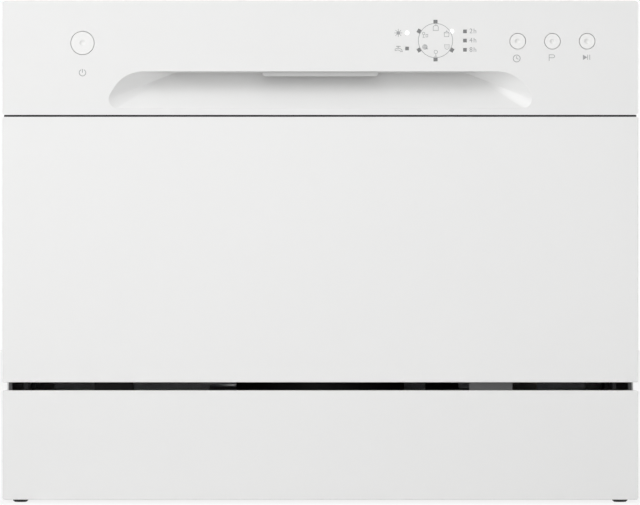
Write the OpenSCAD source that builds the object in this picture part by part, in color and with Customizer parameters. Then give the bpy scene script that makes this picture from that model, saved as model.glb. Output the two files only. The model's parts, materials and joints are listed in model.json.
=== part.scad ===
// Countertop dishwasher with a drop-down door, in millimetres.
// Origin: on the resting plane, at the middle of the overall width and depth. +Z up, the door faces -Y.

/* [Overall] */
// Width of the door and the kick plate
front_w = 550; // [530:1:570]
// Depth from the door's face to the end of the inlet thread
total_d = 500; // [490:1:520]
// Height from the resting plane to the top of the control panel
total_h = 434; // [430:1:446]

/* [Front] */
// Height of the kick plate
kick_h = 94.5; // [90:0.5:96]
// Height of the kick plate's lower edge above the resting plane
kick_z0 = 2.5; // [2:0.5:5]
// Slot between the kick plate and the door
slot_h = 7; // [6.5:0.5:9]
// Height of the moulded control panel
fascia_h = 99; // [96:1:104]
// Seam between the control panel and the steel door panel
seam = 1.3; // [0.6:0.1:2]
// Thickness of the whole door, from its face to the liner
door_t = 37; // [36:0.5:40]
// Height of the hinge axis above the door's lower edge
hinge_up = 13; // [12:0.5:14]
// Distance of the hinge axis behind the door's face
hinge_back = 15; // [14:0.5:15.5]

/* [Sheet and walls] */
// Sheet metal thickness
sheet = 1; // [0.8:0.1:1.4]
// Wall of moulded plastic parts
wall = 2.5; // [2:0.1:3]
// Overhang of the door beyond the cabinet on each side
overhang = 1.5; // [1:0.5:4]
// Gap between the closed door and the front frame
door_gap = 5; // [4.5:0.5:7]

/* [Tub] */
// Space between the cabinet's side and the tub's inner face
side_gap = 38.5; // [36.5:0.5:42]
// Inside depth of the tub
tub_d = 386; // [376:1:392]
// Space between the cabinet's top and the tub's inner face
roof_gap = 26.5; // [24.5:0.5:30]
// Corner radius of the tub
tub_r = 16; // [10:1:20]
// Radius of the sump opening in the tub's floor
sump_r = 74; // [70:1:80]

/* [Handle recess] */
// Width of the handle recess
recess_w = 366; // [340:1:380]
// Height of the handle recess
recess_h = 32; // [28:0.5:34]
// Depth of the handle recess
recess_d = 25; // [20:0.5:27]
// Height of the recess above the lower edge of the control panel
recess_up = 6; // [5:0.5:9]
// Width lost at each end of the recess from front to back
recess_taper = 57; // [40:1:65]
// Radius of the recess's upper corners
recess_r = 30; // [24:1:32]

/* [Controls] */
// Radius of the power button
power_r = 9.9; // [9:0.1:11]
// Radius of the three small buttons
button_r = 6.6; // [6:0.1:8]
// Distance between the small buttons
button_pitch = 30; // [26:0.5:34]
// Running gap round each button
button_gap = 0.45; // [0.3:0.05:0.6]
// Button travel
button_travel = 1.5; // [1:0.1:2]
// Radius of the ring of program lights
ring_r = 16.2; // [14:0.1:18]

/* [Rack] */
// Thickness of the rack's heavy wires
wire_d = 4; // [3.5:0.1:4.5]
// Thickness of the rack's tines
tine_d = 3; // [2.6:0.1:3.2]
// Spacing of the plate tines
tine_pitch = 30; // [28:1:32]
// Radius of the rack's wheels
wheel_r = 9; // [8:0.5:10]
// Width of a wheel
wheel_w = 8; // [6:0.5:9]
// Height of the rack's sides
rack_h = 96; // [85:1:105]

/* [Spray arm] */
// Reach of the spray arm from its centre
arm_reach = 168; // [150:1:175]
// Width of the spray arm
arm_w = 34; // [28:1:40]
// Thickness of the spray arm
arm_t = 10; // [8:0.5:12]
// Radial running clearance of plain bearings
run_gap = 0.08; // [0.05:0.01:0.1]

/* [Rear connections] */
// Outer radius of the water inlet's thread
inlet_r = 13.2; // [13:0.1:13.3]
// Length of the inlet thread behind the rear panel
inlet_len = 16; // [14:0.5:18]
// Outer radius of the drain spigot
drain_r = 10; // [9:0.5:11]
// Radius of the cord gland's bore
cord_r = 4; // [3.5:0.1:4.5]

/* [Hidden] */
$fn = 48;
front_y = -total_d / 2;
rear_y = total_d / 2 - inlet_len;
body_w = front_w - 2 * overhang;
body_x = body_w / 2;
kick_z1 = kick_z0 + kick_h;
door_z0 = kick_z1 + slot_h;
fascia_z0 = total_h - fascia_h;
liner_y = front_y + door_t;
axis_y = front_y + hinge_back;
axis_z = door_z0 + hinge_up;
frame_y = liner_y + door_gap;
wrap_top = total_h - 2;
// the open door's inner face; the tub floor lies just above it
open_z = axis_z + door_t - hinge_back;
floor_z = open_z + 0.5;
tub_y0 = frame_y + sheet + 0.3;
tub_y1 = tub_y0 + tub_d;
// the tub fills the cabinet, less the named spaces beside and above it
tub_w = body_w - 2 * side_gap;
tub_h = wrap_top - roof_gap - floor_z;
tub_z1 = floor_z + tub_h;
tub_x = tub_w / 2;
base_z = 4;
base_floor = 3;
base_h = 22;
hub_y = tub_y0 + tub_d / 2 - 5;
filter_x = 44;
filter_r = 25;
white = [0.93, 0.93, 0.92];
steel = [0.72, 0.73, 0.74];
dark = [0.12, 0.12, 0.13];
grey = [0.55, 0.56, 0.57];

// ---- shared shapes ----

// box between two corners
module span(a, b) {
  translate(a) cube([b[0] - a[0], b[1] - a[1], b[2] - a[2]]);
}

// rounded rectangle between two corners, in a plane
module round_rect(x0, x1, y0, y1, r) {
  translate([x0 + r, y0]) square([x1 - x0 - 2 * r, y1 - y0]);
  translate([x0, y0 + r]) square([x1 - x0, y1 - y0 - 2 * r]);
  for (x = [x0 + r, x1 - r], y = [y0 + r, y1 - r]) translate([x, y]) circle(r);
}

// extrudes a drawing of the X-Z plane from y0 to y1
module along_y(y0, y1) {
  translate([0, y1, 0]) rotate([90, 0, 0]) linear_extrude(y1 - y0) children();
}

// extrudes a drawing of the Y-Z plane from x0 to x1
module along_x(x0, x1) {
  translate([x0, 0, 0]) rotate([90, 0, 90]) linear_extrude(x1 - x0) children();
}

// round bar along each axis
module bar_x(x0, x1, y, z, r, sides = 48) {
  translate([x0, y, z]) rotate([0, 90, 0]) cylinder(h = x1 - x0, r = r, $fn = sides);
}
module bar_y(x, y0, y1, z, r, sides = 48) {
  translate([x, y1, z]) rotate([90, 0, 0]) cylinder(h = y1 - y0, r = r, $fn = sides);
}
module bar_z(x, y, z0, z1, r, sides = 48) {
  translate([x, y, z0]) cylinder(h = z1 - z0, r = r, $fn = sides);
}

// both sides of the machine
module both_sides() {
  children();
  mirror([1, 0, 0]) children();
}

// ---- cabinet ----

// one sheet folded over the top and both sides, with lips round the front
module cabinet_wrap() {
  color(white) {
    along_y(frame_y + 1, rear_y)
      difference() {
        wrap_outline(0);
        wrap_outline(sheet);
      }
    along_y(frame_y + 1, frame_y + 2)
      difference() {
        wrap_outline(sheet / 2);
        wrap_outline(lip);
        translate([-body_x - 1, 0]) square([body_w + 2, base_z + base_h + 1]);
      }
    along_y(rear_y - 2 * sheet - panel_gap, rear_y - sheet - panel_gap)
      difference() {
        wrap_outline(sheet / 2);
        wrap_outline(rear_lip);
        translate([-body_x - 1, 0]) square([body_w + 2, base_z + base_h + 4]);
        for (p = screw_places) translate(p) circle(screw_r);
      }
  }
}
lip = 4;
rear_lip = 16;
wrap_r = 8;
wrap_z0 = 6;
module wrap_outline(inset) {
  x = body_x - inset;
  difference() {
    round_rect(-x, x, -wrap_r, wrap_top - inset, wrap_r);
    translate([-body_x - 1, -2 * wrap_r]) square([body_w + 2, 2 * wrap_r + wrap_z0]);
  }
}

// back sheet with holes for the valve, the drain, the gland and a vent grille
inlet_x = body_x - 83.5;
drain_x = body_x - 151.5;
cord_x = -inlet_x;
rear_ports_z = 75;
panel_gap = 0.3;
module rear_panel() {
  color(steel)
    difference() {
      along_y(rear_y - sheet, rear_y)
        intersection() {
          wrap_outline(sheet + panel_gap);
          translate([-body_x, wrap_z0 + 2]) square([body_w, wrap_top]);
        }
      for (p = [[inlet_x, inlet_r + 1], [drain_x, drain_r + 1], [cord_x, cord_r + 5]])
        bar_y(p[0], rear_y - 3, rear_y + 1, rear_ports_z, p[1]);
      for (i = [0:9]) span([-90 + 20 * i, rear_y - 3, 110], [-82 + 20 * i, rear_y + 1, 150]);
      for (p = screw_places) bar_y(p[0], rear_y - 3, rear_y + 1, p[1], screw_r);
    }
}

// moulded floor pan with a rim, pump and sump seats and foot bosses
pan_x = body_x - sheet - panel_gap;
pan_y0 = front_y + sheet;
pan_y1 = rear_y - sheet;
foot_x = body_x - 13.5;
foot_y0 = front_y + 14;
foot_y1 = rear_y - 16;
foot_r = 7;
module base_tray() {
  color(dark)
    difference() {
      union() {
        difference() {
          span([-pan_x, pan_y0, base_z], [pan_x, pan_y1, base_z + base_h]);
          span([-pan_x + wall, pan_y0 + wall, base_z + base_floor],
               [pan_x - wall, pan_y1 - wall, base_z + base_h + 1]);
        }
        for (x = [-180:90:180]) span([x - 1.5, pan_y0 + 1, base_z + 1], [x + 1.5, pan_y1 - 1, base_z + 12]);
        for (x = [-foot_x, foot_x], y = [foot_y0, foot_y1]) bar_z(x, y, base_z + 1, base_z + 16, 8);
      }
      for (x = [-foot_x, foot_x], y = [foot_y0, foot_y1]) bar_z(x, y, base_z - 1, base_z + 12, stem_r + 0.05);
    }
}
stem_r = 4;

// domed rubber feet, each with a stem pushed into the floor pan
module feet(y) {
  color(dark)
    for (x = [-foot_x, foot_x]) translate([x, y, 0]) {
      rotate_extrude()
        polygon([[0, 0], [foot_r - 2, 0], [foot_r - 0.6, 1], [foot_r, 2.4], [foot_r, base_z], [0, base_z]]);
      cylinder(h = base_z + 11, r = stem_r);
    }
}
module front_feet() feet(foot_y0);
module rear_feet() feet(foot_y1);

// painted plate under the door, with short returns
kick_return = 9;
module kick_plate() {
  x = front_w / 2;
  z1 = kick_z1;
  color(white) {
    along_y(front_y, front_y + sheet) round_rect(-x, x, kick_z0, z1, 1.5);
    for (s = [-1, 1])
      span([s > 0 ? x - sheet : -x, front_y + sheet, kick_z0 + 2],
           [s > 0 ? x : -x + sheet, frame_y - 2, z1 - 2]);
    span([-x + 2, front_y + sheet, z1 - sheet], [x - 2, front_y + sheet + kick_return - 2, z1]);
    for (px = [-150, 150])
      span([px - 25, front_y + sheet, base_z + base_h], [px + 25, front_y + 24, base_z + base_h + 2]);
  }
}

// ---- tub ----

// stainless tank, open towards the door, with a flange round its mouth
mouth_flange = 12;
module tub() {
  color(steel)
    difference() {
      union() {
        along_y(tub_y0, tub_y1 + sheet) tub_outline(-sheet);
        along_y(tub_y0, tub_y0 + sheet) tub_outline(-mouth_flange);
        for (s = [-1, 1])
          span([s * wheel_x - 11, tub_y0 + 12, floor_z - 2], [s * wheel_x + 11, tub_y1 - 20, floor_z]);
      }
      along_y(tub_y0 - 1, tub_y1) tub_outline(0);
      bar_z(0, hub_y, floor_z - 6, floor_z + 2, sump_r);
      bar_z(float_x, float_y, floor_z - 6, floor_z + 2, 9);
      bar_x(tub_x - 2, tub_x + 3, breather_y, breather_z, 16);
      for (x = [-heater_leg, heater_leg]) bar_z(x, heater_leg_y, floor_z - 6, floor_z + 2, 5.5);
    }
}
module tub_outline(inset)
  round_rect(-tub_x + inset, tub_x - inset, floor_z + inset, tub_z1 - inset, tub_r - inset);
wheel_x = tub_x - tub_r - wheel_w / 2 - 1;
float_x = -tub_x + 49;
float_y = tub_y0 + 62;
breather_y = -20;
breather_z = floor_z + 120;

// rubber seal up both sides of the mouth and across its top
seal_w = 8;
seal_gap = 0.3;
module tub_gasket() {
  x0 = tub_x + 3;
  x1 = x0 + seal_w;
  color(grey)
    along_y(liner_y + seal_gap, frame_y)
      difference() {
        round_rect(-x1, x1, floor_z + 12, tub_z1 + 3 + seal_w, tub_r + 3);
        translate([-x0, floor_z + 10]) square([2 * x0, 40]);
        round_rect(-x0, x0, floor_z + 11, tub_z1 + 3, tub_r);
      }
}

// steel frame that carries the tub's mouth; its lower ends show in the slot under the door
slot_x0 = tub_x + 18;
slot_x1 = body_x - 4.5;
leg_z0 = base_z + base_h;
module front_frame() {
  x = body_x - sheet - panel_gap;
  color(steel)
    along_y(frame_y, frame_y + sheet)
      difference() {
        translate([-x, leg_z0]) square([2 * x, wrap_top - sheet - panel_gap - leg_z0]);
        tub_outline(0);
        translate([-slot_x1, leg_z0 - 1]) square([2 * slot_x1, floor_z - 12 - leg_z0]);
        for (s = [-1, 1])
          translate([s > 0 ? slot_x0 : -slot_x1, leg_z0 + 30])
            square([slot_x1 - slot_x0, axis_z + 52 - leg_z0 - 30]);
      }
}

// latch strike on the frame: a tongue with a nib on its end
strike_w = 28;
strike_t = 2;
strike_z = tub_z1 + seal_w + 8;
strike_reach = 18;
module strike_plate() {
  y0 = frame_y - strike_reach;
  color(steel) {
    span([-strike_w / 2 - 8, frame_y - 1.5, strike_z - 3], [strike_w / 2 + 8, frame_y, strike_z + 4]);
    span([-strike_w / 2, y0, strike_z], [strike_w / 2, frame_y - 1, strike_z + strike_t]);
    along_x(-strike_w / 2, strike_w / 2)
      translate([y0, strike_z - 1.5]) polygon([[0, 0], [3, 0], [5, 2], [0, 2]]);
  }
}

// ---- hinge hardware ----
pin_r = 4;
pin_run = 0.08;
plate_t = 3;
bracket_x = tub_x + 21;
arm_x = bracket_x + plate_t + 3.5;
tail = 27;
anchor_y = axis_y + tail + 120;
spring_x = arm_x + 2;
spring_r = 4.6;
spring_wire = 1;

module hinge_brackets() {
  foot_z = base_z + base_floor;
  color(steel)
    both_sides()
      difference() {
        along_x(bracket_x, bracket_x + plate_t) {
          translate([axis_y, axis_z]) circle(7.5);
          translate([axis_y, axis_z - 7.5]) square([40, 15]);
          translate([frame_y + 4, foot_z]) square([36, axis_z - foot_z + 7.5]);
          translate([frame_y + 4, foot_z]) square([anchor_y + 10 - frame_y - 4, 24]);
          translate([anchor_y - 10, foot_z]) square([20, axis_z - foot_z + 10]);
        }
        bar_x(bracket_x - 1, bracket_x + plate_t + 1, axis_y, axis_z, pin_r + 0.02);
        bar_x(bracket_x - 1, bracket_x + plate_t + 1, anchor_y, axis_z, spring_wire + 0.7);
      }
}

module hinge_pins() {
  color(steel)
    both_sides() {
      bar_x(bracket_x - 1.5, arm_x + plate_t + 1.2, axis_y, axis_z, pin_r);
      bar_x(bracket_x - 3, bracket_x - 0.02, axis_y, axis_z, pin_r + 2.5);
      bar_x(arm_x + plate_t + 0.4, arm_x + plate_t + 1.9, axis_y, axis_z, pin_r + 2.5);
    }
}

// balance spring between the hinge arm's tail and the bracket's rear post
module door_spring() {
  y0 = axis_y + tail;
  color(grey) {
    bar_y(spring_x, y0 + 14, anchor_y - 14, axis_z, spring_r);
    bar_y(arm_x - 1.2, y0, y0 + 8, axis_z, spring_wire);
    bar_x(arm_x - 2.4, arm_x + plate_t + 1, y0, axis_z, spring_wire + 0.2);
    bar_x(arm_x - 2.4, spring_x + 1.3, y0 + 8, axis_z, spring_wire + 0.2);
    bar_y(spring_x, y0 + 8, y0 + 15, axis_z, spring_wire);
    bar_y(spring_x, anchor_y - 15, anchor_y, axis_z, spring_wire);
    bar_x(bracket_x - 1, spring_x + 1.3, anchor_y, axis_z, spring_wire + 0.2);
  }
}
module door_spring_right() door_spring();
module door_spring_left() mirror([1, 0, 0]) door_spring();

// bare metal tab that holds the door's wiring where it crosses the slot
clip_x = body_x - 124.5;
clip_w = 38;
module cable_clip() {
  z0 = base_z + base_h;
  color(steel)
    along_x(clip_x - clip_w / 2, clip_x + clip_w / 2)
      translate([frame_y - 1.5, z0 + 58]) square([1.5, floor_z - 1 - z0 - 58]);
}

// ---- wash system ----
filter_seat = 1.2;
sump_z0 = 60;
pipe_r = 12;
suction_x = 50;
suction_y = hub_y + 68;
suction_z = 85;
drain_z = rear_ports_z;
// moulded sump hung under the tub's floor, with spigots for both pumps and the delivery hose
module sump() {
  top = floor_z - 2.3;
  color(dark)
    difference() {
      union() {
        translate([0, hub_y, 0]) {
          bar_z(0, 0, sump_z0, top, sump_r + wall);
          bar_z(0, 0, top - 3, top, sump_r + 12);
          bar_z(0, 0, sump_z0 - 8, sump_z0 + 1, pipe_r);
        }
        bar_y(suction_x, hub_y + 40, suction_y, suction_z, 11);
        bar_x(sump_r - 14, drain_pump_x0 - 4, hub_y, drain_z, 9);
      }
      bar_z(0, hub_y, sump_z0 + wall, top + 1, sump_r);
      bar_z(0, hub_y, sump_z0 - 9, sump_z0 + 10, pipe_r - 3);
      bar_y(suction_x, hub_y + 30, suction_y + 1, suction_z, 8.5);
      bar_x(sump_r - 24, drain_pump_x0 - 3, hub_y, drain_z, 6.5);
    }
}

// tubular heater: an open ring above the tub's floor with two legs through it
heater_ring = 105;
heater_wire = 3.3;
heater_split = 10;
heater_leg = heater_ring * sin(heater_split);
heater_leg_y = hub_y + heater_ring * cos(heater_split);
heater_z = floor_z + 7.5;
module heater() {
  color(steel) {
    translate([0, hub_y, heater_z])
      rotate([0, 0, 90 + heater_split])
        rotate_extrude(angle = 360 - 2 * heater_split, $fn = 96)
          translate([heater_ring, 0]) circle(heater_wire, $fn = 24);
    for (x = [-heater_leg, heater_leg]) {
      bar_z(x, heater_leg_y, floor_z - 24, heater_z + 1, heater_wire - 0.1);
      bar_z(x, heater_leg_y, floor_z - 4, floor_z - 0.5, 5.2);
    }
  }
}

// perforated plate over the sump
module filter_plate() {
  color(steel)
    difference() {
      bar_z(0, hub_y, floor_z, floor_z + filter_seat, sump_r + 6);
      bar_z(filter_x, hub_y, floor_z - 1, floor_z + 3, filter_r + 0.4);
      bar_z(0, hub_y, floor_z - 1, floor_z + 3, pipe_r - 2.6);
      for (ring = [34, 46, 58], a = [60:15:300])
        translate([0, hub_y, 0]) rotate([0, 0, a]) bar_z(ring, 0, floor_z - 1, floor_z + 3, 2, 8);
    }
}

// riser pipe from the sump's floor, with the fixed nozzle on which the spray arm turns
hub_r = 9;
arm_z = floor_z + 14;
module spray_hub() {
  color(grey)
    translate([0, hub_y, 0])
      difference() {
        union() {
          bar_z(0, 0, floor_z + filter_seat, arm_z - 0.3, hub_r + 5);
          bar_z(0, 0, floor_z + 2, arm_z + arm_t + 2, hub_r);
          bar_z(0, 0, arm_z + arm_t + 1.2, arm_z + arm_t + 3.6, hub_r + 3);
          bar_z(0, 0, floor_z - 1, floor_z + 2, pipe_r - 3.1);
          bar_z(0, 0, sump_z0 + wall, floor_z, pipe_r);
        }
        bar_z(0, 0, sump_z0, arm_z + 4, 6);
        for (a = [0:60:300]) rotate([0, 0, a]) bar_x(0, hub_r + 1, 0, arm_z + arm_t / 2, 2.4);
      }
}

// twist-out filter cylinder with a grip ring
module fine_filter() {
  top = floor_z + filter_seat + 0.3;
  color(grey)
    translate([filter_x, hub_y, 0]) {
      difference() {
        union() {
          bar_z(0, 0, sump_z0 + 12, top + 1, filter_r);
          bar_z(0, 0, top, top + 1.8, filter_r + 3);
        }
        bar_z(0, 0, sump_z0 + 15, top + 3, filter_r - 2);
        for (a = [0:45:315])
          rotate([0, 0, a]) span([filter_r - 4, -3, sump_z0 + 22], [filter_r + 2, 3, top - 12]);
      }
      span([-1.5, -filter_r + 1, top - 4], [1.5, filter_r - 1, top + 3.4]);
    }
}

// spray arm: hollow blade with round ends, turning on the hub's nozzle
module spray_arm() {
  half = arm_w / 2;
  color(grey)
    translate([0, hub_y, arm_z])
      difference() {
        linear_extrude(arm_t) {
          difference() {
            union() {
              circle(half + 8);
              for (s = [-1, 1])
                mirror([s < 0 ? 1 : 0, 0]) {
                  polygon([[0, -half], [arm_reach - 12, -12], [arm_reach - 12, 12], [0, half]]);
                  translate([arm_reach - 12, 0]) circle(12);
                }
            }
            circle(hub_r + run_gap);
          }
        }
        for (s = [-1, 1], i = [0:4])
          translate([s * (50 + 24 * i), s * (i % 2 == 0 ? 5 : -5), arm_t - 2])
            cylinder(h = 3, r = 1.8, $fn = 16);
        translate([0, 0, -1]) cylinder(h = arm_t - 1, r = hub_r + 3);
      }
}

// overflow float: a dome on a stem that lifts in the guide of its switch
float_r = 19;
module overflow_float() {
  color(white)
    translate([float_x, float_y, 0]) {
      difference() {
        translate([0, 0, floor_z + 1.6])
          rotate_extrude() polygon([[0, 0], [float_r, 0], [float_r, 12], [float_r - 5, 17], [0, 18.5]]);
        bar_z(0, 0, floor_z + 1, floor_z + 14, float_r - 2);
      }
      bar_z(0, 0, floor_z - 28, floor_z + 16, 2.5);
    }
}
module float_switch() {
  color(dark)
    difference() {
      union() {
        bar_z(float_x, float_y, floor_z - 24, floor_z + 1.2, 8.6);
        bar_z(float_x, float_y, floor_z - 5, floor_z - 2.3, 15);
        span([float_x - 14, float_y - 9, floor_z - 46], [float_x + 20, float_y + 9, floor_z - 22]);
      }
      bar_z(float_x, float_y, floor_z - 40, floor_z + 2, 2.5 + 0.3);
    }
}

// circulation pump: volute and motor on one axis across the machine
pump_y = hub_y + 124;
pump_z = 60;
volute_r = 36;
volute_x0 = -18;
volute_x1 = 10;
shaft_r = 3;
motor_len = 86;
module wash_pump_housing() {
  color(dark)
    difference() {
      union() {
        bar_x(volute_x0, volute_x1, pump_y, pump_z, volute_r);
        bar_x(volute_x1 - 1, volute_x1 + 18, pump_y, pump_z, 12);
        bar_y(0, hub_y + 80, pump_y - 20, delivery_z, 11);
      }
      bar_x(volute_x0 + 4, volute_x1 - 4, pump_y, pump_z, volute_r - 3);
      bar_x(volute_x1 - 6, volute_x1 + 19, pump_y, pump_z, 9);
      bar_x(volute_x0 - 1, volute_x0 + 5, pump_y, pump_z, shaft_r + run_gap);
      bar_y(0, hub_y + 79, pump_y - 15, delivery_z, 8);
    }
}
delivery_z = 40;
module wash_pump_motor() {
  x0 = volute_x0 - motor_len;
  x1 = volute_x0;
  color(steel)
    difference() {
      union() {
        bar_x(x0, x1, pump_y, pump_z, 32);
        for (x = [x0 + 12, x1 - 30])
          span([x, pump_y - 24, base_z + base_floor + 9], [x + 14, pump_y + 24, pump_z - 18]);
      }
      bar_x(x1 - 45, x1 + 1, pump_y, pump_z, shaft_r + run_gap);
    }
}
module wash_impeller() {
  x0 = volute_x0 + 6;
  color(grey) {
    bar_x(x0, x0 + 2, pump_y, pump_z, volute_r - 6);
    bar_x(x0, x0 + 12, pump_y, pump_z, 8);
    bar_x(volute_x0 - 42, x0 + 1, pump_y, pump_z, shaft_r);
    for (a = [0:60:300])
      translate([0, pump_y, pump_z]) rotate([a, 0, 0]) span([x0 + 1, 6, -1], [x0 + 11, volute_r - 7, 1]);
  }
}

// drain pump on the sump's side
drain_pump_x0 = drain_x - 26;
drain_pump_r = 22;
module drain_pump() {
  x0 = drain_pump_x0;
  x1 = x0 + 30;
  color(dark)
    difference() {
      union() {
        bar_x(x0, x1, hub_y, drain_z, drain_pump_r);
        bar_x(x1 - 1, x1 + 44, hub_y, drain_z, 17);
        bar_x(x0 - 4, x0 + 1, hub_y, drain_z, 12);
        bar_y(drain_x, hub_y + 10, hub_y + 40, drain_z, 9);
        span([x1 + 6, hub_y - 12, base_z + base_floor + 9], [x1 + 36, hub_y + 12, drain_z - 10]);
      }
      bar_x(x0 + 3, x1 - 3, hub_y, drain_z, drain_pump_r - 3);
      bar_x(x0 - 5, x0 + 4, hub_y, drain_z, 9.3);
      bar_x(x1 - 4, x1 + 20, hub_y, drain_z, 2 + run_gap);
      bar_y(drain_x, hub_y + 15, hub_y + 41, drain_z, 6.5);
    }
}
module drain_impeller() {
  x0 = drain_pump_x0 + 5;
  color(grey) {
    bar_x(x0, x0 + 18, hub_y, drain_z, 5);
    bar_x(x0, drain_pump_x0 + 44, hub_y, drain_z, 2);
    for (a = [0:90:270])
      translate([0, hub_y, drain_z])
        rotate([a, 0, 0]) span([x0 + 1, 4, -0.8], [x0 + 16, drain_pump_r - 5, 0.8]);
  }
}

supply_y = rear_y - sheet - 26;
supply_z0 = rear_ports_z + 34;
// water inlet valve with its threaded nose through the rear panel
module inlet_valve() {
  y1 = rear_y - sheet;
  color(white)
    difference() {
      union() {
        span([inlet_x - 18, y1 - 46, rear_ports_z - 18], [inlet_x + 18, y1 - 3, rear_ports_z + 18]);
        bar_y(inlet_x, y1 - 4, y1, rear_ports_z, 20);
        bar_y(inlet_x, y1 - 5, rear_y + inlet_len, rear_ports_z, inlet_r);
        bar_z(inlet_x, supply_y, rear_ports_z + 17, supply_z0, 6);
      }
      bar_y(inlet_x, y1 - 20, rear_y + inlet_len + 1, rear_ports_z, inlet_r - 4);
      bar_z(inlet_x, supply_y, rear_ports_z + 10, supply_z0 + 1, 3.5);
    }
}
// drain spigot for the outlet hose
drain_len = 14;
module drain_outlet() {
  y1 = rear_y - sheet;
  color(dark)
    difference() {
      union() {
        bar_y(drain_x, y1 - 3, y1, rear_ports_z, drain_r + 6);
        bar_y(drain_x, y1 - 24, rear_y + drain_len, rear_ports_z, drain_r);
      }
      bar_y(drain_x, y1 - 25, rear_y + drain_len + 1, rear_ports_z, drain_r - 2.5);
    }
}
// strain-relief gland for the mains lead
module cord_gland() {
  color(dark)
    difference() {
      union() {
        bar_y(cord_x, rear_y, rear_y + 3, rear_ports_z, cord_r + 8);
        bar_y(cord_x, rear_y - 14, rear_y + 9, rear_ports_z, cord_r + 4.6);
      }
      bar_y(cord_x, rear_y - 15, rear_y + 10, rear_ports_z, cord_r);
    }
}

// flat water chamber on the tub's side, with its port through the wall
breather_t = 20;
module water_breather() {
  x0 = tub_x + sheet + 1;
  color(white)
    difference() {
      union() {
        span([x0, breather_y - 80, breather_z - 70], [x0 + breather_t, breather_y + 60, breather_z + 70]);
        bar_x(tub_x - 1.5, x0 + 1, breather_y, breather_z, 15.6);
      }
      for (z = [breather_z - 45, breather_z + 30])
        span([x0 + breather_t - 3, breather_y - 70, z], [x0 + breather_t + 1, breather_y + 50, z + 12]);
      bar_x(tub_x - 3, x0 + breather_t - 6, breather_y, breather_z, 12);
    }
}

// internal hoses: suction, delivery, drain and fresh water
module hoses() {
  supply_x = tub_x + sheet + 1 + breather_t / 2;
  supply_z = breather_z + 50;
  color(dark) {
    bar_y(suction_x, suction_y, pump_y, suction_z, 10);
    bar_z(suction_x, pump_y, pump_z, suction_z, 10.4);
    bar_x(volute_x1 + 18, suction_x, pump_y, pump_z, 10);
    for (z = [pump_z, suction_z]) translate([suction_x, pump_y, z]) sphere(11.5);
    bar_z(0, hub_y, delivery_z, sump_z0 - 8, 10);
    bar_y(0, hub_y, hub_y + 80, delivery_z, 10.4);
    translate([0, hub_y, delivery_z]) sphere(11.5);
    bar_y(drain_x, hub_y + 40, rear_y - sheet - 24, drain_z, 8.5);
    bar_z(inlet_x, supply_y, supply_z0, supply_z, 5);
    bar_x(inlet_x, supply_x, supply_y, supply_z, 5.3);
    bar_y(supply_x, breather_y + 60, supply_y, supply_z, 5);
    for (x = [inlet_x, supply_x]) translate([x, supply_y, supply_z]) sphere(6);
  }
}

// bitumen sheets on the tub's top and sides
module damping_mats() {
  z = tub_z1 + sheet;
  color(dark) {
    span([-tub_x + 30, tub_y0 + 30, z], [tub_x - 30, tub_y1 - 30, z + 1.8]);
    span([-tub_x - sheet - 1.8, tub_y0 + 40, floor_z + 60], [-tub_x - sheet, tub_y1 - 30, tub_z1 - 40]);
    span([tub_x + sheet, breather_y + 64, floor_z + 60], [tub_x + sheet + 1.8, tub_y1 - 30, supply_low]);
  }
}
supply_low = breather_z + 40;

// pan-head screws that close the rear panel
screw_r = 1.9;
screw_x = body_x - 11.5;
screw_places = [for (x = [-screw_x, -screw_x / 2, 0, screw_x / 2, screw_x]) [x, wrap_top - 9],
                for (s = [-1, 1], z = [rear_ports_z + 75, wrap_top - 142]) [s * screw_x, z]];
module cabinet_screws() {
  color(steel)
    for (p = screw_places) {
      bar_y(p[0], rear_y, rear_y + 2, p[1], 3.8);
      bar_y(p[0], rear_y - 7, rear_y + 1, p[1], screw_r - 0.1);
    }
}

// ---- door ----
door_back = liner_y - sheet;
return_y = door_back - 0.3;
door_x = front_w / 2;
notch_x = tub_x + 16;
notch_z = axis_z + 58;
door_screw_places = [for (s = [-1, 1], z = [notch_z + 18 : 46 : fascia_z0 - 8]) [s * (door_x - 7), z]];
door_screw_r = 1.6;

// painted steel face with folded sides and rear lips
module door_outer_panel() {
  z1 = fascia_z0 - seam;
  color(white)
    difference() {
      union() {
        along_y(front_y, front_y + sheet) round_rect(-door_x, door_x, door_z0, z1, 1.5);
        both_sides() {
          span([door_x - sheet, front_y + sheet / 2, door_z0 + 1.5], [door_x, return_y, z1 - 1.5]);
          span([door_x - 12, return_y - sheet, notch_z + 5], [door_x - sheet / 2, return_y, z1 - 1.5]);
        }
        span([-notch_x + 6, front_y + sheet / 2, door_z0], [notch_x - 6, front_y + 6, door_z0 + sheet]);
        span([-door_x + 2, front_y + sheet / 2, z1 - sheet], [door_x - 2, front_y + 10, z1]);
      }
      for (p = door_screw_places) bar_y(p[0], return_y - 3, return_y + 2, p[1], door_screw_r + 0.1);
    }
}

// stainless inner door with notches for the hinges and openings for the dispenser and the latch
module door_liner() {
  x = door_x - 1;
  z0 = door_z0 + 3;
  z1 = total_h - 3;
  color(steel)
    difference() {
      union() {
        along_y(door_back, liner_y)
          difference() {
            round_rect(-x, x, z0, z1, 4);
            for (nx = [-x - 1, notch_x]) translate([nx, z0 - 1]) square([x - notch_x + 1, notch_z - z0 + 1]);
          }
        span([-notch_x + 2, door_back - 8, z0], [notch_x - 2, door_back + 0.1, z0 + sheet]);
        for (z = [door_z0 + 51, fascia_z0 + 25])
          along_y(liner_y - 0.1, liner_y + 0.8) round_rect(-190, 190, z, z + 10, 4);
      }
      span([-dispenser_w / 2, door_back - 2, dispenser_z0],
           [dispenser_w / 2, liner_y + 2, dispenser_z0 + dispenser_h]);
      span([-strike_w / 2 - 3, door_back - 2, strike_z - 4.5],
           [strike_w / 2 + 3, liner_y + 2, strike_z + strike_t + 3]);
      for (p = door_screw_places) bar_y(p[0], door_back - 1, liner_y + 1, p[1], door_screw_r + 0.1);
    }
}
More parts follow.
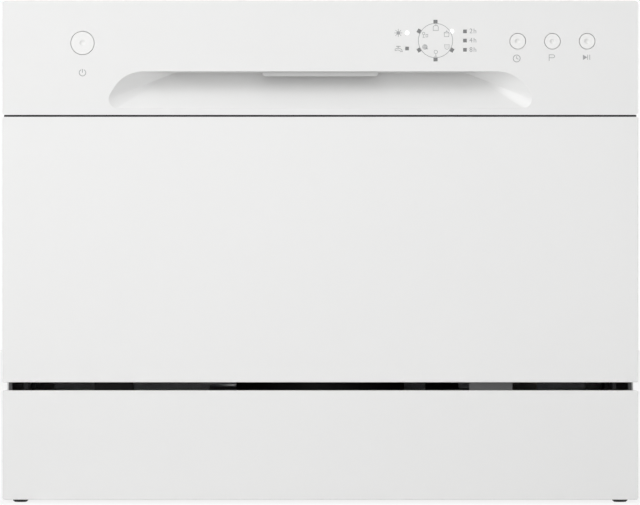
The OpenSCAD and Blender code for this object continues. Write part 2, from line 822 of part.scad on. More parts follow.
module door_screws() {
  color(steel)
    for (p = door_screw_places) {
      bar_y(p[0], return_y - 6, liner_y + 0.5, p[1], door_screw_r);
      bar_y(p[0], liner_y, liner_y + 1.6, p[1], door_screw_r + 1.6);
    }
}
module lower_door_seal() {
  z0 = door_z0 + 4.5;
  color(dark)
    along_x(-notch_x + 6, notch_x - 6)
      polygon([[liner_y, z0], [liner_y + 1.6, z0], [liner_y + 1, z0 + 5], [liner_y, z0 + 6]]);
}

// steel arms fixed inside the door, turning on the hinge pins, with tails for the springs
module hinge_arms() {
  y0 = front_y + sheet;
  color(steel)
    both_sides()
      difference() {
        along_x(arm_x, arm_x + plate_t) {
          translate([axis_y, axis_z]) circle(7.5);
          translate([axis_y, axis_z - 5]) square([tail, 10]);
          translate([axis_y + tail, axis_z]) circle(5.6);
          polygon([[axis_y - 7, axis_z], [axis_y + 7, axis_z], [return_y - 4, axis_z + 30],
                   [return_y - 4, axis_z + 150], [y0, axis_z + 170], [y0, axis_z + 12]]);
        }
        bar_x(arm_x - 1, arm_x + plate_t + 1, axis_y, axis_z, pin_r + pin_run);
        bar_x(arm_x - 1, arm_x + plate_t + 1, axis_y + tail, axis_z, spring_wire + 0.8);
      }
}

// ---- control panel ----
recess_z0 = fascia_z0 + recess_up;
recess_z1 = recess_z0 + recess_h;
tip_r = 8;
control_z = fascia_z0 + 64;
power_x = -door_x + 69.4;
power_drop = 1.5;
power_z = control_z - power_drop;
button_x = door_x - 104.2;
button_places = [for (i = [0:2]) button_x + i * button_pitch];
sleeve = 4;
lamp = 3.1;
ring_x = door_x - 175.3;
left_lamp_x = ring_x - 24.6;
timer_x = ring_x + 25.5;
timer_pitch = 7.95;
lamp_z = control_z + 0.6;

// one end of the recess's mouth, drawn from its upper inner corner: w wide and h high
module mouth_end(w, h, r_top, r_low) {
  split = h - r_low;
  intersection() {
    union() {
      square([w - r_top, h]);
      translate([w - r_top, r_top]) circle(r_top, $fn = 72);
      translate([0, min(r_top, split)]) square([w, max(split - r_top, 0.01)]);
    }
    square([w, split]);
  }
  translate([0, split - 0.01]) square([w - r_low, r_low + 0.01]);
  translate([w - r_low, split]) circle(r_low, $fn = 48);
}
// the recess as a solid, from the mouth's outline to the back edge of a flat ceiling: a ramp with ends that draw
// in towards the back; ahead is how far it reaches in front of the panel
module recess(grow, ahead) {
  top = recess_z1 + grow;
  h = recess_h + grow + grow * sqrt(pow(recess_d, 2) + pow(recess_h, 2)) / recess_d;
  depth = h * recess_d / recess_h;
  w = recess_taper + grow * sqrt(pow(recess_d, 2) + pow(recess_taper, 2)) / recess_d;
  inner = recess_w / 2 - recess_taper;
  k = (depth + ahead) / depth;
  edge = 0.4;
  hull() {
    along_y(front_y - ahead - edge, front_y - ahead)
      for (s = [0, 1])
        mirror([s, 0])
          translate([inner, top])
            mirror([0, 1]) mouth_end(w * k, h * k, (recess_r + grow) * k, (tip_r + grow) * k);
    span([-inner, front_y + depth - edge, top - edge], [inner, front_y + depth, top]);
  }
}

lever_w = 101;
lever_y = front_y + 11;
lever_z = recess_z1 + 9;
lever_r = 2.5;
lever_slot = 4.5;
ear_x = lever_w / 2 + 3;

module fascia_outline(inset) {
  x = door_x - inset;
  z0 = fascia_z0 + 0.3 + inset;
  round_rect(-x, x, z0, total_h - inset, 3 - min(inset, 1.5));
}
// lamp windows as [x, z, turn, side] for the square ones
lamp_places = concat(
  [[left_lamp_x, lamp_z - timer_pitch + 1.1, 0, lamp]],
  [for (a = [90:60:330]) [ring_x + ring_r * cos(a), lamp_z + ring_r * sin(a), a, lamp * 1.12]],
  [for (i = [-1:1]) [timer_x, lamp_z + i * timer_pitch, 0, lamp]]
);
round_lamps = [[left_lamp_x, lamp_z + timer_pitch - 1.2],
               [ring_x + ring_r * cos(30), lamp_z + ring_r * sin(30)]];
module lamps(grow, y0, y1) {
  for (p = lamp_places)
    translate([p[0], 0, p[1]]) rotate([0, -p[2], 0])
      span([-p[3] / 2 - grow, y0, -p[3] / 2 - grow], [p[3] / 2 + grow, y1, p[3] / 2 + grow]);
  for (p = round_lamps) bar_y(p[0], y0, y1, p[1], lamp * 0.62 + grow, 24);
}

board_y = front_y + wall + 9;
boss_places = [[power_x - 16.7, control_z + 10], [power_x + 17.3, control_z - 10],
               for (x = [button_x - 22.5, button_x + 81.5], s = [-1, 1]) [x, control_z + s * 12],
               [ring_x - 29.7, control_z + 20], [ring_x + 32.3, control_z + 21]];
module control_fascia() {
  bores = concat([[power_x, power_z, power_r]], [for (x = button_places) [x, control_z, button_r]]);
  color(white)
    difference() {
      union() {
        difference() {
          along_y(front_y, return_y) fascia_outline(0);
          along_y(front_y + wall, return_y + 1) fascia_outline(wall);
        }
        intersection() {
          recess(wall, -0.4);
          along_y(front_y, return_y) fascia_outline(0.5);
        }
        for (b = bores)
          bar_y(b[0], front_y + wall - 0.5, front_y + wall + sleeve, b[1], b[2] + button_gap + 1.6);
        both_sides()
          span([ear_x, lever_y - 4, recess_z1 + wall - 0.5], [ear_x + 4, lever_y + 4, lever_z + 5]);
        for (p = boss_places) bar_y(p[0], front_y + wall - 0.5, board_y, p[1], 3);
      }
      recess(0, 1);
      for (b = bores) bar_y(b[0], front_y - 1, front_y + wall + sleeve + 1, b[1], b[2] + button_gap);
      lamps(0.05, front_y - 1, front_y + wall + 1);
      span([-lever_w / 2 - 1.5, lever_y - lever_slot, recess_z1 - 2],
           [lever_w / 2 + 1.5, lever_y + lever_slot, recess_z1 + wall + 1]);
      both_sides() bar_x(ear_x - 1, ear_x + 5, lever_y, lever_z, lever_r + run_gap);
    }
}
module indicator_lenses() {
  color([0.36, 0.37, 0.38]) lamps(0, front_y + 0.15, front_y + wall + 0.8);
}
// circuit boards behind the panel, with a switch under each button
module control_board() {
  switch_y = front_y + button_len + button_travel + 0.3;
  color([0.15, 0.35, 0.2]) {
    span([ring_x - 37.7, board_y, control_z - 18], [door_x - 17, board_y + 1.6, control_z + 26]);
    span([power_x - 22, board_y, control_z - 16], [power_x + 22, board_y + 1.6, control_z + 16]);
    for (x = button_places) bar_y(x, switch_y, board_y + 0.5, control_z, 3);
    bar_y(power_x, switch_y, board_y + 0.5, power_z, 3);
    span([button_x + 9.5, board_y + 1.5, control_z - 8], [button_x + 35.5, board_y + 12, control_z + 14]);
  }
}
button_len = 8.2;

// push button with a dimple, and a collar that stops it behind its sleeve
module push_button(x, z, r, dimple) {
  sag = 0.7;
  ball = (dimple * dimple + sag * sag) / (2 * sag);
  color(white)
    translate([x, 0, z])
      difference() {
        union() {
          bar_y(0, front_y, front_y + wall + sleeve + 0.3, 0, r);
          bar_y(0, front_y + wall + sleeve + 0.2, front_y + button_len, 0, r + 1.2);
        }
        translate([0, front_y - ball + sag, 0]) sphere(ball);
      }
}
module power_button() push_button(power_x, power_z, power_r, 2.8);
module delay_button() push_button(button_places[0], control_z, button_r, 2.5);
module program_button() push_button(button_places[1], control_z, button_r, 2.5);
module start_button() push_button(button_places[2], control_z, button_r, 2.5);

// finger lever hanging through the ceiling of the recess, with an arm up to the latch
module handle_lever() {
  x = lever_w / 2;
  hang = 3.8;
  color(white) {
    bar_x(-ear_x - 3.5, ear_x + 3.5, lever_y, lever_z, lever_r);
    along_y(lever_y - 1.5, lever_y + 1.5)
      polygon([[-x, lever_z + 2], [-x, recess_z1 - hang + 2], [-x + 2, recess_z1 - hang],
               [x - 2, recess_z1 - hang], [x, recess_z1 - hang + 2], [x, lever_z + 2]]);
    span([-7, lever_y - 1.5, lever_z], [7, lever_y + 1.5, lever_z + 30]);
  }
}

// latch: moulded housing round the strike, with a spring clip inside
latch_z0 = strike_z - 9;
latch_depth = 16;
latch_x = 36;
module latch_housing() {
  z1 = total_h - 3.5;
  color(dark)
    difference() {
      span([-latch_x, door_back - latch_depth, latch_z0], [latch_x, door_back, z1]);
      span([-strike_w / 2 - 3, door_back - latch_depth + 1.2, strike_z - 4.5],
           [strike_w / 2 + 3, door_back + 1, strike_z + strike_t + 3]);
      span([latch_x - 14, door_back - latch_depth - 1, latch_z0 + 4], [latch_x - 3, door_back - 3, z1 - 4]);
    }
}
module latch_clip() {
  y0 = door_back - latch_depth + 1.3;
  z0 = strike_z - 4.2;
  color(steel)
    along_x(-10, 10) {
      translate([y0, z0]) square([0.6, strike_t + 6.9]);
      translate([y0, z0]) square([11, 0.6]);
      translate([y0, z0 + strike_t + 6.3]) square([11, 0.6]);
      polygon([[y0 + 8, z0 + 0.2], [y0 + 10.6, z0 + 0.2], [y0 + 9.5, z0 + 2.2]]);
    }
}

// ---- dispenser in the inner door ----
dispenser_w = 150;
dispenser_h = 104;
dispenser_z0 = fascia_z0 - 113;
dispenser_proud = 1.5;
cup_x0 = -62;
cup_x1 = -4;
cup_z0 = dispenser_z0 + 10;
cup_z1 = cup_z0 + 44;
rinse_x = 42;
rinse_z = dispenser_z0 + 62;
rinse_r = 15;
lid_t = 2.2;
module dispenser_body() {
  x = dispenser_w / 2 - 0.3;
  z0 = dispenser_z0 + 0.3;
  z1 = dispenser_z0 + dispenser_h - 0.3;
  face = liner_y + dispenser_proud;
  color(grey)
    difference() {
      union() {
        along_y(door_back - 22, face) round_rect(-x + 1, x - 1, z0 + 1, z1 - 1, 8);
        along_y(liner_y, face) round_rect(-x - 5, x + 5, z0 - 5, z1 + 5, 12);
        for (rx = [cup_x0 - 4.5, cup_x1 + 1.5])
          span([rx, face - 0.5, cup_z0 - 3], [rx + 3, face + lid_t + 1.6, cup_z1 + 42]);
        for (s = [0, 1])
          span([s == 0 ? cup_x0 - 4.5 : cup_x1 - 0.5, face + lid_t + 0.6, cup_z0 - 3],
               [s == 0 ? cup_x0 + 0.5 : cup_x1 + 4.5, face + lid_t + 1.6, cup_z1 + 42]);
      }
      span([cup_x0, door_back - 19, cup_z0], [cup_x1, face + 0.1, cup_z1]);
      bar_y(rinse_x, door_back - 16, face + 1, rinse_z, rinse_r + 0.4);
      bar_y(rinse_x, door_back - 19, face + 1, rinse_z - 34, 8 + 0.3);
    }
}
// sliding lid of the detergent cup
module dispenser_lid() {
  face = liner_y + dispenser_proud;
  color(grey)
    difference() {
      span([cup_x0 - 1.2, face + 0.3, cup_z0 - 2], [cup_x1 + 1.2, face + 0.3 + lid_t - 0.3, cup_z1 + 2]);
      for (z = [cup_z0 + 6 : 5 : cup_z0 + 21])
        span([cup_x0 + 14, face + lid_t - 0.4, z], [cup_x1 - 14, face + lid_t + 1, z + 2]);
    }
}
// release button of the lid
module dispenser_catch() {
  face = liner_y + dispenser_proud;
  color(dark) bar_y(rinse_x, face - 12, face + 3, rinse_z - 34, 8);
}
// quarter-turn cap of the rinse-aid tank
module rinse_cap() {
  face = liner_y + dispenser_proud;
  color(dark)
    union() {
      bar_y(rinse_x, face - 12, face + 0.8, rinse_z, rinse_r);
      span([rinse_x - rinse_r + 2, face, rinse_z - 2.5], [rinse_x + rinse_r - 2, face + 4, rinse_z + 2.5]);
    }
}

// ---- rack ----
rack_x = wheel_x - 14;
rack_y0 = tub_y0 + 17;
rack_y1 = tub_y1 - 18;
rack_z = floor_z + 33;
rack_r = 14;
meet = 0.02;
front_wheel_y = axis_y + 72;
rear_wheel_y = front_wheel_y + 260;
axle_r = 2.5;
axle_z = floor_z + wheel_r + 0.3;
tine_h = 66;
tine_rows = [-40, 70];
shelf_len = 150;
shelf_w = 66;
shelf_y = 10;
shelf_x = rack_x - wire_d - tine_d - 2 * meet;
shelf_z = rack_z + rack_h - 16;
shelf_t = 3;
barrel_r = 4;

// ring of wire with round corners
module wire_ring(z) {
  r = wire_d / 2;
  x = rack_x - rack_r - meet;
  for (s = [-1, 1]) bar_y(s * rack_x, rack_y0 + rack_r + meet, rack_y1 - rack_r - meet, z, r, 8);
  for (y = [rack_y0, rack_y1]) bar_x(-x, x, y, z, r, 8);
  for (c = [[rack_x - rack_r, rack_y1 - rack_r, 0], [-rack_x + rack_r, rack_y1 - rack_r, 90],
            [-rack_x + rack_r, rack_y0 + rack_r, 180], [rack_x - rack_r, rack_y0 + rack_r, 270]])
    translate([c[0], c[1], z]) rotate([0, 0, c[2]])
      rotate_extrude(angle = 90, $fn = 48) translate([rack_r, 0]) circle(r, $fn = 8);
}
// each wire is a solid that just meets the wires it is welded to
module rack_basket() {
  r = tine_d / 2;
  inner = wire_d / 2 + r + meet;
  cross_z = rack_z + wire_d / 2 - r;
  cross_x = rack_x - wire_d / 2 - meet;
  rim_z = rack_z + rack_h;
  step_y = (rack_y1 - rack_y0 - 2 * rack_r) / 6;
  n = floor((rack_x - rack_r) / tine_pitch);
  half = floor(n / 2);
  color([0.8, 0.81, 0.82]) {
    for (z = [rack_z, rack_z + rack_h / 2, rim_z]) wire_ring(z);
    // floor wires run front to back over the ring, crosswise ones lie under them
    for (i = [0.5 - n : n - 0.5]) bar_y(i * tine_pitch, rack_y0 - 1, rack_y1 + 1, rack_z + inner, r, 8);
    for (y = concat([rack_y0 + 60, rack_y1 - 30], tine_rows)) bar_x(-cross_x, cross_x, y, cross_z, r, 8);
    for (i = [0:6], s = [-1, 1])
      bar_z(s * (rack_x - inner), rack_y0 + rack_r + i * step_y, rack_z - 1, rim_z + 1, r, 8);
    for (i = [-half:half], y = [rack_y0 + inner, rack_y1 - inner])
      bar_z(2 * i * tine_pitch, y, rack_z - 1, rim_z + 1, r, 8);
    for (y = tine_rows, i = [1 - n : n - 1]) bar_z(i * tine_pitch, y, cross_z + r + meet, rack_z + tine_h, r, 8);
    // round bars on which the folding cup shelves turn, then the wheel posts and axles
    both_sides() {
      bar_y(shelf_x, shelf_y - shelf_len / 2 - 6, shelf_y + shelf_len / 2 + 11, shelf_z, wire_d / 2);
      for (y = [front_wheel_y, rear_wheel_y]) {
        bar_z(rack_x, y, axle_z + axle_r + meet, rack_z - wire_d / 2 - meet, r, 8);
        bar_x(rack_x - 2.5, wheel_x + wheel_w / 2 + 1.2, y, axle_z, axle_r);
        bar_x(wheel_x + wheel_w / 2 + 0.3, wheel_x + wheel_w / 2 + 1.8, y, axle_z, axle_r + 1.5);
      }
    }
  }
}
// wheels, one pair to an axle line
module wheels(y) {
  color(dark)
    both_sides()
      difference() {
        union() {
          bar_x(wheel_x - wheel_w / 2, wheel_x + wheel_w / 2, y, axle_z, wheel_r - 1);
          bar_x(wheel_x - wheel_w / 2 + 1.5, wheel_x + wheel_w / 2 - 1.5, y, axle_z, wheel_r);
        }
        bar_x(wheel_x - wheel_w, wheel_x + wheel_w, y, axle_z, axle_r + run_gap);
        for (a = [0:60:300])
          translate([0, y, axle_z])
            rotate([a, 0, 0]) bar_x(wheel_x - wheel_w, wheel_x + wheel_w, 0, wheel_r * 0.62, 1.2, 16);
      }
}
module front_wheels() wheels(front_wheel_y);
module rear_wheels() wheels(rear_wheel_y);

// folding cup shelf, clipped round its bar by two barrels
module cup_shelf_right() {
  y0 = shelf_y - shelf_len / 2;
  y1 = shelf_y + shelf_len / 2;
  z1 = shelf_z + shelf_w;
  color([0.8, 0.81, 0.82])
    difference() {
      union() {
        for (y = [y0 + 2, y1 - 18]) bar_y(shelf_x, y, y + 16, shelf_z, barrel_r);
        for (y = [y0 + 2, y1 - 18])
          span([shelf_x - shelf_t / 2, y, shelf_z], [shelf_x + shelf_t / 2, y + 16, shelf_z + 10]);
        along_x(shelf_x - shelf_t / 2, shelf_x + shelf_t / 2) round_rect(y0, y1, shelf_z + 8, z1, 10);
      }
      for (y = [y0 + 1, y1 - 19]) bar_y(shelf_x, y, y + 18, shelf_z, wire_d / 2 + run_gap);
      for (y = [y0 + 12 : 15 : y1 - 18]) span([shelf_x - 3, y, shelf_z + 16], [shelf_x + 3, y + 6, z1 - 9]);
    }
}
module cup_shelf_left() mirror([1, 0, 0]) cup_shelf_right();

// moulded cutlery basket with slotted walls, cross walls and a handle
basket_w = 126;
basket_d = 62;
basket_x1 = rack_x - 12;
basket_x0 = basket_x1 - basket_w;
basket_y0 = rack_y0 + 6;
basket_y1 = basket_y0 + basket_d;
basket_z0 = rack_z + wire_d / 2 + tine_d + 2 * meet;
basket_h = 96;
basket_cells = 4;
basket_wall = 2;
module cutlery_basket() {
  z1 = basket_z0 + basket_h;
  cell = (basket_x1 - basket_x0 - basket_wall) / basket_cells;
  mid = (basket_y0 + basket_y1) / 2;
  cx = (basket_x0 + basket_x1) / 2;
  color(grey)
    difference() {
      union() {
        difference() {
          span([basket_x0, basket_y0, basket_z0], [basket_x1, basket_y1, z1]);
          for (i = [0:basket_cells - 1])
            span([basket_x0 + basket_wall + i * cell, basket_y0 + basket_wall, basket_z0 + basket_wall],
                 [basket_x0 + (i + 1) * cell, basket_y1 - basket_wall, z1 + 1]);
        }
        along_y(mid - 2, mid + 2)
          difference() {
            round_rect(cx - cell - 5, cx + cell + 5, z1 - 24, z1 + 22, 10);
            round_rect(cx - cell + 4, cx + cell - 4, z1 - 40, z1 + 13, 8);
          }
      }
      for (i = [0:basket_cells - 1], k = [0:1])
        span([basket_x0 + (i + 0.5) * cell - 11 + 12 * k, basket_y0 - 1, basket_z0 + 10],
             [basket_x0 + (i + 0.5) * cell - 3 + 12 * k, basket_y1 + 1, z1 - 14]);
      for (i = [0:basket_cells - 1])
        span([basket_x0 + (i + 0.5) * cell - 5, basket_y0 + 12, basket_z0 - 1],
             [basket_x0 + (i + 0.5) * cell + 5, basket_y1 - 12, basket_z0 + basket_wall + 1]);
    }
}

cabinet_wrap();
rear_panel();
base_tray();
kick_plate();
front_feet();
rear_feet();
tub();
tub_gasket();
front_frame();
hinge_brackets();
hinge_pins();
door_spring_left();
door_spring_right();
cable_clip();
strike_plate();
sump();
heater();
filter_plate();
spray_hub();
wash_pump_housing();
wash_pump_motor();
wash_impeller();
drain_pump();
drain_impeller();
inlet_valve();
drain_outlet();
cord_gland();
water_breather();
hoses();
float_switch();
damping_mats();
cabinet_screws();
door_outer_panel();
control_fascia();
door_liner();
hinge_arms();
dispenser_body();
latch_housing();
latch_clip();
control_board();
indicator_lenses();
lower_door_seal();
door_screws();
handle_lever();
power_button();
delay_button();
program_button();
start_button();
dispenser_lid();
dispenser_catch();
rinse_cap();
rack_basket();
front_wheels();
rear_wheels();
cup_shelf_left();
cup_shelf_right();
cutlery_basket();
spray_arm();
fine_filter();
overflow_float();
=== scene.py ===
import json
import math
import bmesh
import bpy
from mathutils import Matrix, Vector


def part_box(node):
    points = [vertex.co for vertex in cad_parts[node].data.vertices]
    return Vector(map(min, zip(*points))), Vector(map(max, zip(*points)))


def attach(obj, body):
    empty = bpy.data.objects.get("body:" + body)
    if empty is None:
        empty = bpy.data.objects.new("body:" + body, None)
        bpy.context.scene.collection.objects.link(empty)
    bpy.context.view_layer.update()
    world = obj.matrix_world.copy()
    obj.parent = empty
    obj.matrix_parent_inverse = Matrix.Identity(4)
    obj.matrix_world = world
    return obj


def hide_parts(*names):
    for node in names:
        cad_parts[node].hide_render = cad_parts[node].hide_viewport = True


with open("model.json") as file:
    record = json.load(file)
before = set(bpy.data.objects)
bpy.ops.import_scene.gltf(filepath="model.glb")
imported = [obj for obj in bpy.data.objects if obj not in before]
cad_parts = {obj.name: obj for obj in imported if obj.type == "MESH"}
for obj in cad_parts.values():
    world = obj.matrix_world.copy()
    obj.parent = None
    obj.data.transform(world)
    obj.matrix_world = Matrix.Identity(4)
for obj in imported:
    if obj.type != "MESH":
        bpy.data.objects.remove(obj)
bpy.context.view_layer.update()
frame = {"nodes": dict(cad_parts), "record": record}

# ---- Studio ----
# A pale floor, a white surround and three soft lamps. The photograph is taken square on from far away,
# level with the middle of the door, so the lens is long and nothing tilts.
lens_distance = 4.0
frame_width = 0.5535
look_height = 0.2163
front_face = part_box("door_outer_panel")[0].y

camera = bpy.data.objects.new("camera", bpy.data.cameras.new("camera"))
camera.data.lens = camera.data.sensor_width * lens_distance / frame_width
camera.data.clip_end = 50
sideways = -0.0002
camera.location = (sideways, front_face - lens_distance, look_height)
camera.rotation_euler = (math.radians(90), 0, 0)
bpy.context.scene.collection.objects.link(camera)
bpy.context.scene.camera = camera
bpy.context.scene.view_settings.view_transform = "Standard"


def soft_lamp(name, place, aim, size, power):
    """A square area lamp that faces aim."""
    lamp = bpy.data.objects.new(name, bpy.data.lights.new(name, "AREA"))
    lamp.data.size = size
    lamp.data.energy = power
    lamp.location = place
    lamp.rotation_euler = (Vector(aim) - Vector(place)).to_track_quat("-Z", "Y").to_euler()
    bpy.context.scene.collection.objects.link(lamp)


soft_lamp("key", place=(-1.5, -1.7, 2.0), aim=(0, -0.2, 0.2), size=2.2, power=47)
soft_lamp("fill", place=(0.1, -3.0, 0.35), aim=(0, 0, 0.33), size=1.5, power=17)
soft_lamp("back", place=(0.4, 2.2, 1.8), aim=(0, 0.2, 0.2), size=1.6, power=26)

surround_glow = 0.35
world = bpy.data.worlds.new("surround")
world.use_nodes = True
bpy.context.scene.world = world
air = world.node_tree
air.nodes["Background"].inputs["Color"].default_value = (1, 1, 1, 1)
air.nodes["Background"].inputs["Strength"].default_value = surround_glow
seen = air.nodes.new("ShaderNodeBackground")
seen.inputs["Color"].default_value = (1, 1, 1, 1)
path = air.nodes.new("ShaderNodeLightPath")
looks = air.nodes.new("ShaderNodeMath")
looks.operation = "MAXIMUM"
air.links.new(path.outputs["Is Camera Ray"], looks.inputs[0])
air.links.new(path.outputs["Is Glossy Ray"], looks.inputs[1])
swap = air.nodes.new("ShaderNodeMixShader")
air.links.new(looks.outputs[0], swap.inputs[0])
air.links.new(air.nodes["Background"].outputs[0], swap.inputs[1])
air.links.new(seen.outputs[0], swap.inputs[2])
air.links.new(swap.outputs[0], air.nodes["World Output"].inputs["Surface"])

floor_reach = 6
floor_whiteness = 0.85
floor_mesh = bpy.data.meshes.new("floor")
sheet = bmesh.new()
bmesh.ops.create_grid(sheet, x_segments=1, y_segments=1, size=floor_reach)
sheet.to_mesh(floor_mesh)
sheet.free()
floor = bpy.data.objects.new("floor", floor_mesh)
bpy.context.scene.collection.objects.link(floor)
floor_paint = bpy.data.materials.new("floor_paint")
floor_paint.use_nodes = True
wash = floor_paint.node_tree
matt = wash.nodes["Principled BSDF"]
matt.inputs["Base Color"].default_value = (0.82, 0.82, 0.82, 1)
matt.inputs["Roughness"].default_value = 0.9
glow = wash.nodes.new("ShaderNodeEmission")
glow.inputs["Color"].default_value = (1, 1, 1, 1)
ray = wash.nodes.new("ShaderNodeLightPath")
seen_ray = wash.nodes.new("ShaderNodeMath")
seen_ray.operation = "MAXIMUM"
wash.links.new(ray.outputs["Is Camera Ray"], seen_ray.inputs[0])
wash.links.new(ray.outputs["Is Glossy Ray"], seen_ray.inputs[1])
share = wash.nodes.new("ShaderNodeMath")
share.operation = "MULTIPLY"
share.inputs[1].default_value = floor_whiteness
both = wash.nodes.new("ShaderNodeMixShader")
wash.links.new(seen_ray.outputs[0], share.inputs[0])
wash.links.new(share.outputs[0], both.inputs[0])
wash.links.new(matt.outputs[0], both.inputs[1])
wash.links.new(glow.outputs[0], both.inputs[2])
wash.links.new(both.outputs[0], wash.nodes["Material Output"].inputs["Surface"])
floor_mesh.materials.append(floor_paint)

# ---- Painted steel shells ----
# The cabinet wrap, the door panel and the kick plate: folded steel sheet, powder-coated white; the wrap's inner
# side is grey, partly a backing coat and partly painted shade. The white coat has a fine orange peel and a soft
# sheen; every fold has a small radius.
MM = 0.001


def surface(name, colour, rough, metal=0.0, coat=0.0, mottle=0.04, grain=900, bump=0.02,
            stretch=(1, 1, 1), wear=0.05):
    """A finish in object space: a mottled colour, roughness that varies with it, and a fine bump."""
    made = bpy.data.materials.new(name)
    made.use_nodes = True
    tree = made.node_tree
    shader = tree.nodes["Principled BSDF"]
    shader.inputs["Metallic"].default_value = metal
    shader.inputs["Coat Weight"].default_value = coat
    shader.inputs["Coat Roughness"].default_value = 0.12
    place = tree.nodes.new("ShaderNodeTexCoord")
    scale = tree.nodes.new("ShaderNodeMapping")
    scale.inputs["Scale"].default_value = stretch
    tree.links.new(place.outputs["Object"], scale.inputs["Vector"])
    cloud = tree.nodes.new("ShaderNodeTexNoise")
    cloud.inputs["Scale"].default_value = 9
    cloud.inputs["Detail"].default_value = 5
    tree.links.new(scale.outputs[0], cloud.inputs["Vector"])
    ramp = tree.nodes.new("ShaderNodeMix")
    ramp.data_type = "RGBA"
    low = [c * (1 - mottle) for c in colour]
    ramp.inputs["A"].default_value = (*low, 1)
    ramp.inputs["B"].default_value = (*colour, 1)
    tree.links.new(cloud.outputs["Fac"], ramp.inputs["Factor"])
    tree.links.new(ramp.outputs["Result"], shader.inputs["Base Color"])
    spread = tree.nodes.new("ShaderNodeMapRange")
    spread.inputs["To Min"].default_value = max(rough - wear, 0.02)
    spread.inputs["To Max"].default_value = rough + wear
    tree.links.new(cloud.outputs["Fac"], spread.inputs["Value"])
    tree.links.new(spread.outputs[0], shader.inputs["Roughness"])
    peel = tree.nodes.new("ShaderNodeTexNoise")
    peel.inputs["Scale"].default_value = grain
    peel.inputs["Detail"].default_value = 3
    tree.links.new(scale.outputs[0], peel.inputs["Vector"])
    raised = tree.nodes.new("ShaderNodeBump")
    raised.inputs["Strength"].default_value = bump
    raised.inputs["Distance"].default_value = 0.0004
    tree.links.new(peel.outputs["Fac"], raised.inputs["Height"])
    tree.links.new(raised.outputs["Normal"], shader.inputs["Normal"])
    return made


body_of_node = {n: b for b, ns in frame["record"]["behaviour"]["bodies"].items() for n in ns}


def piece(name, shape, material, node, smooth=35, stands_for=True):
    """Makes a piece of a bmesh with the given material, shaded smooth up to an angle; it rides as its CAD node
    does, and hides that node when it stands for it.
    """
    mesh = bpy.data.meshes.new(name)
    shape.to_mesh(mesh)
    shape.free()
    mesh.materials.append(material)
    made = bpy.data.objects.new(name, mesh)
    bpy.context.scene.collection.objects.link(made)
    mesh.shade_smooth()
    mesh.set_sharp_from_angle(angle=math.radians(smooth))
    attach(made, body_of_node[node])
    if stands_for:
        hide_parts(node)
    return made


def solid_of(node, flat=0.4):
    """The CAD node's shape as one merged bmesh with its flat faces joined."""
    shape = bmesh.new()
    shape.from_mesh(frame["nodes"][node].data)
    bmesh.ops.remove_doubles(shape, verts=shape.verts, dist=0.000002)
    bmesh.ops.dissolve_limit(shape, angle_limit=math.radians(flat), verts=shape.verts, edges=shape.edges)
    return shape


def soften(shape, radius, segments=2, sharper_than=38):
    """Rounds every edge that turns by more than an angle."""
    edges = [e for e in shape.edges if e.is_manifold and e.calc_face_angle(0) > math.radians(sharper_than)]
    bmesh.ops.bevel(shape, geom=edges, offset=radius, offset_type="OFFSET", affect="EDGES",
                    segments=segments, profile=0.5, material=-1, clamp_overlap=True)


def flat_faced(shown):
    """Keeps wide faces flat in the shading, so that only their rounded edges turn the light."""
    wide_first = shown.modifiers.new("wide_first", "WEIGHTED_NORMAL")
    wide_first.mode = "FACE_AREA_WITH_ANGLE"
    wide_first.weight = 100
    wide_first.keep_sharp = True
    return shown


def dressed(node, material, radius=0.3 * MM, segments=2, smooth=35, sharper_than=38, flat=0.4):
    """A CAD node with its edges rounded and its own finish."""
    shape = solid_of(node, flat)
    if radius:
        soften(shape, radius, segments, sharper_than)
    return flat_faced(piece("shown_" + node, shape, material, node, smooth))


def folded(node, material, fold, radius, segments=3):
    """A folded sheet: the folds round its front get a wider radius than its other edges."""
    shape = solid_of(node)
    front = min(v.co.y for v in shape.verts) + 0.01 * MM
    folds = [e for e in shape.edges
             if all(v.co.y < front for v in e.verts) and e.calc_face_angle(0) > math.radians(38)]
    bmesh.ops.bevel(shape, geom=folds, offset=fold, offset_type="OFFSET", affect="EDGES", segments=4,
                    profile=0.5, material=-1, clamp_overlap=True)
    soften(shape, radius, segments)
    return flat_faced(piece("shown_" + node, shape, material, node))


enamel = surface("white_enamel", (0.80, 0.80, 0.795), 0.34, coat=0.15, mottle=0.012, grain=1100, bump=0.035)
# The grey on the wrap's inner walls and roof underside is partly a backing coat and partly painted shade for
# the walls seen in the slot.
backing_coat_and_shade = surface("grey_backing_and_painted_shade", (0.32, 0.325, 0.33), 0.55, mottle=0.05, grain=900, bump=0.05)
wrap = dressed("cabinet_wrap", enamel, 0.3 * MM)
wrap.data.materials.append(backing_coat_and_shade)
side_wall, roof = 250 * MM, 420 * MM
for face in wrap.data.polygons:
    towards_middle = face.normal.x * face.center.x < 0 and abs(face.normal.x) > 0.9
    under_roof = face.normal.z < -0.9 and face.center.z > roof
    if under_roof or (towards_middle and abs(face.center.x) > side_wall):
        face.material_index = 1
fold_radius, rim_radius = 0.6 * MM, 0.15 * MM
folded("door_outer_panel", enamel, fold_radius, rim_radius)
folded("kick_plate", enamel, fold_radius, rim_radius)

# ---- Seam strip ----
# A black strip along the door panel's upper fold, under the control panel's lower edge: painted shade, a dark
# sheet put in the seam between the two so that the seam looks black.
seam_shade_paint = surface("seam_painted_shade", (0.012, 0.012, 0.012), 0.85, mottle=0.3, grain=700, bump=0.2)
door_low, door_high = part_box("door_outer_panel")
panel_low, panel_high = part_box("control_fascia")
strip_depth, strip_short, strip_play = 3 * MM, 3 * MM, 0.04 * MM
strip_size = (door_high.x - door_low.x - strip_short, strip_depth, panel_low.z - door_high.z - strip_play)
strip_place = (0, front_face + strip_depth, (panel_low.z + door_high.z) / 2)
strip = bmesh.new()
bmesh.ops.create_cube(strip, size=1)
bmesh.ops.scale(strip, vec=strip_size, verts=strip.verts)
bmesh.ops.translate(strip, vec=strip_place, verts=strip.verts)
piece("seam_shade_strip", strip, seam_shade_paint, "door_outer_panel", stands_for=False)

